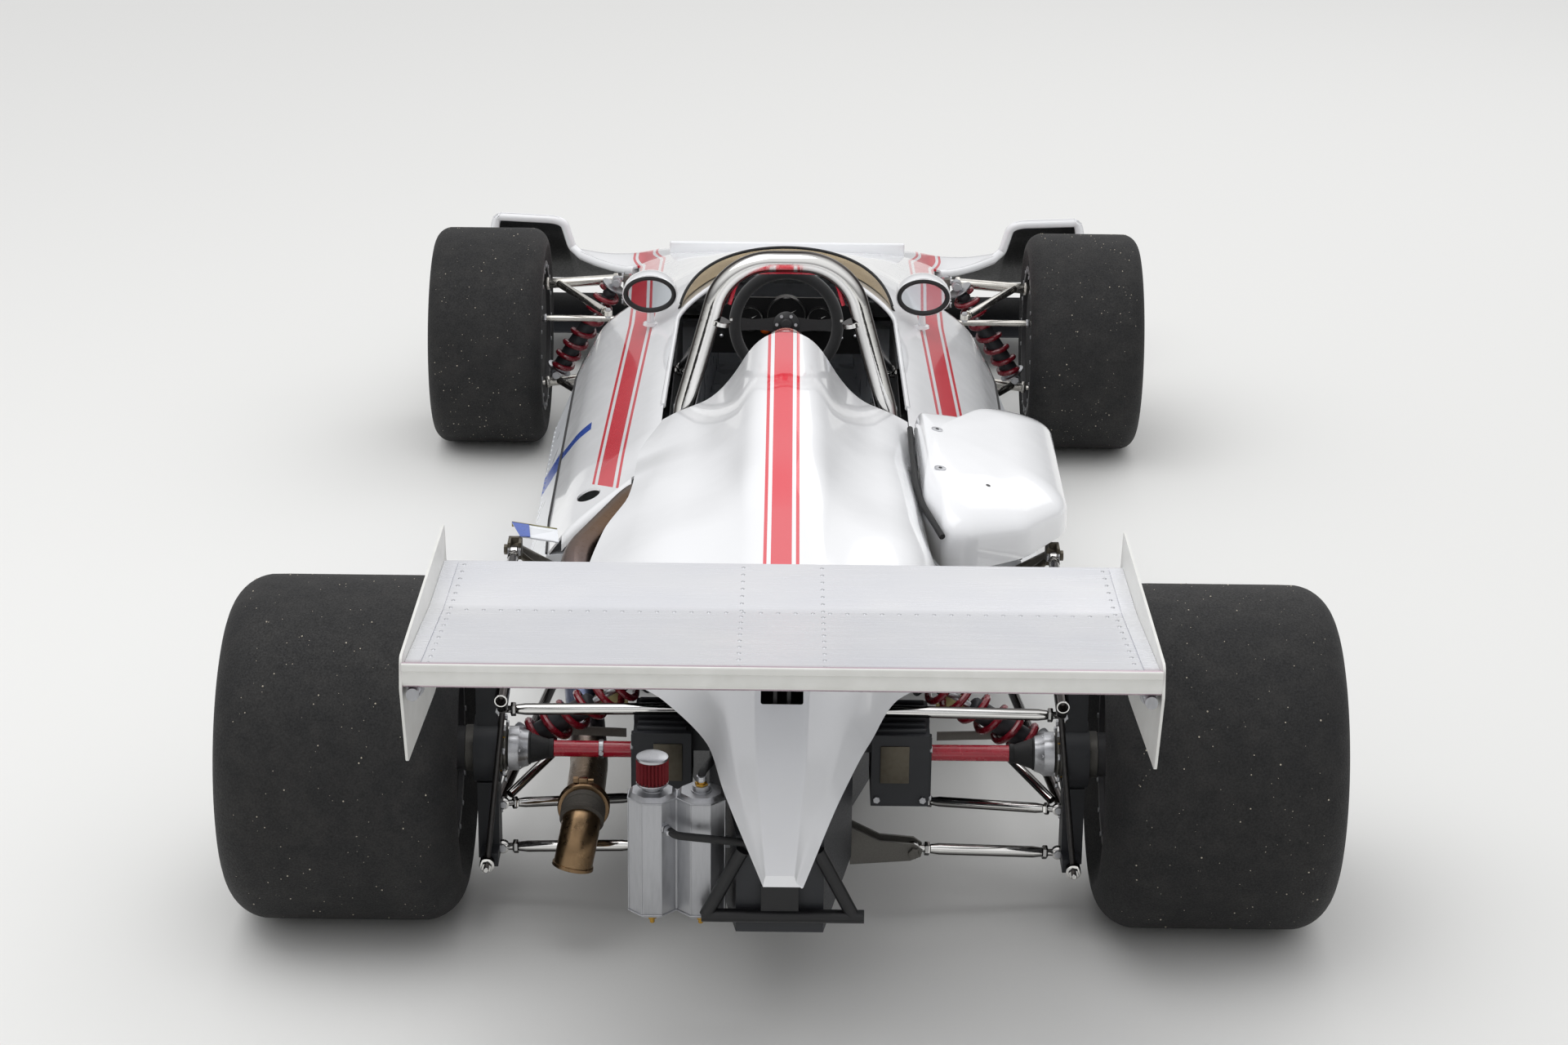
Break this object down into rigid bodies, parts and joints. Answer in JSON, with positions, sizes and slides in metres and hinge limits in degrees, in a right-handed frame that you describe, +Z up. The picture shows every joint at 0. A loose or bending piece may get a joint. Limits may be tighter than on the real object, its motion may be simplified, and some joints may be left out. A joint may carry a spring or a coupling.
{
  "type": "open wheel racing car",
  "caption": "Single-seat open wheel racing car with full-width nose, side intake box, inboard rear brakes and a high rear wing.",
  "frame": {"origin": "middle of the overall box, on the floor between the tyres' lowest points", "axes": "+Y towards the tail, +X towards the car's left, +Z up"},
  "size_m": [1.869, 4.21, 0.85],
  "materials": {
    "white_paint": "gloss, hand polished gel coat",
    "white_tub": "gloss",
    "sheet_aluminium": "brushed and polished by hand",
    "cast_magnesium": "satin casting",
    "wheel_metal": "satin",
    "plate_steel": "polished nickel plate",
    "black_steel": "satin",
    "red_steel": "gloss",
    "exhaust_steel": "heat tinted",
    "slick_rubber": "worn slick",
    "black_rubber": "matt",
    "seat_cover": "matt black",
    "wheel_leather": "satin",
    "tinted_screen": "brown tint",
    "looking_glass": "silvered",
    "filter_cloth": "pleated"
  },
  "bodies": {
    "car": {"monocoque_tub": "white_tub", "cockpit_surround": "white_paint", "nose_cowl": "white_paint", "windscreen": "tinted_screen", "mirrors": "white_paint", "mirror_glasses": "looking_glass", "roll_hoop": "plate_steel", "seat": "seat_cover", "dashboard": "black_steel", "gear_lever": "black_steel", "engine_cover": "white_paint", "tail_fairing": "white_paint", "airbox": "white_paint", "engine_block": "cast_magnesium", "gearbox": "cast_magnesium", "exhaust_manifold": "exhaust_steel", "exhaust_tailpipe": "exhaust_steel", "rear_calipers": "black_steel", "catch_tanks": "sheet_aluminium", "breather_filter": "filter_cloth", "rear_subframe": "black_steel", "rear_wing": "sheet_aluminium", "wing_end_plates": "sheet_aluminium", "wing_pillar": "sheet_aluminium", "rear_uprights": "cast_magnesium", "rear_links": "plate_steel", "radius_rods": "plate_steel", "rear_anti_roll_bar": "plate_steel", "dampers": "black_steel", "springs": "red_steel", "front_wishbones": "plate_steel"},
    "front_left_carrier": {"front_left_knuckle": "cast_magnesium"},
    "front_right_carrier": {"front_right_knuckle": "cast_magnesium"},
    "steering_wheel_body": {"steering_wheel": "wheel_leather"},
    "rack_body": {"tie_rods": "plate_steel"},
    "front_left_wheel": {"front_left_rim": "wheel_metal", "front_left_tyre": "slick_rubber"},
    "front_right_wheel": {"front_right_rim": "wheel_metal", "front_right_tyre": "slick_rubber"},
    "rear_left_wheel": {"rear_left_rim": "wheel_metal", "rear_left_tyre": "slick_rubber", "rear_left_drive_shaft": "red_steel"},
    "rear_right_wheel": {"rear_right_rim": "wheel_metal", "rear_right_tyre": "slick_rubber", "rear_right_drive_shaft": "red_steel"}
  },
  "joints": [
    {"name": "front_left_steer", "type": "hinge", "parent": "car", "child": "front_left_carrier", "pos_m": [0.6, -1.18, 0.2535], "axis": [0, 0, 1], "range_deg": [-18, 18]},
    {"name": "front_right_steer", "type": "hinge", "parent": "car", "child": "front_right_carrier", "pos_m": [-0.6, -1.18, 0.2535], "axis": [0, 0, 1], "range_deg": [-18, 18]},
    {"name": "steering_wheel_turn", "type": "hinge", "parent": "car", "child": "steering_wheel_body", "pos_m": [0, -0.36, 0.543], "axis": [0, 0.9632, 0.2689], "range_deg": [-198, 198]},
    {"name": "rack_slide", "type": "slide", "parent": "car", "child": "rack_body", "axis": [1, 0, 0], "range_m": [-0.03, 0.03]},
    {"name": "front_left_roll", "type": "hinge", "parent": "front_left_carrier", "child": "front_left_wheel", "pos_m": [0.696, -1.18, 0.2535], "axis": [1, 0, 0], "continuous": true},
    {"name": "front_right_roll", "type": "hinge", "parent": "front_right_carrier", "child": "front_right_wheel", "pos_m": [-0.696, -1.18, 0.2535], "axis": [1, 0, 0], "continuous": true},
    {"name": "rear_left_roll", "type": "hinge", "parent": "car", "child": "rear_left_wheel", "pos_m": [0.734, 1.275, 0.2935], "axis": [1, 0, 0], "continuous": true},
    {"name": "rear_right_roll", "type": "hinge", "parent": "car", "child": "rear_right_wheel", "pos_m": [-0.734, 1.275, 0.2935], "axis": [1, 0, 0], "continuous": true}
  ],
  "couplings": [
    {"joint": "front_right_steer", "follows": "front_left_steer", "ratio": 1},
    {"joint": "steering_wheel_turn", "follows": "front_left_steer", "ratio": 11},
    {"joint": "rack_slide", "follows": "front_left_steer", "m_per_rad": -0.095}
  ]
}
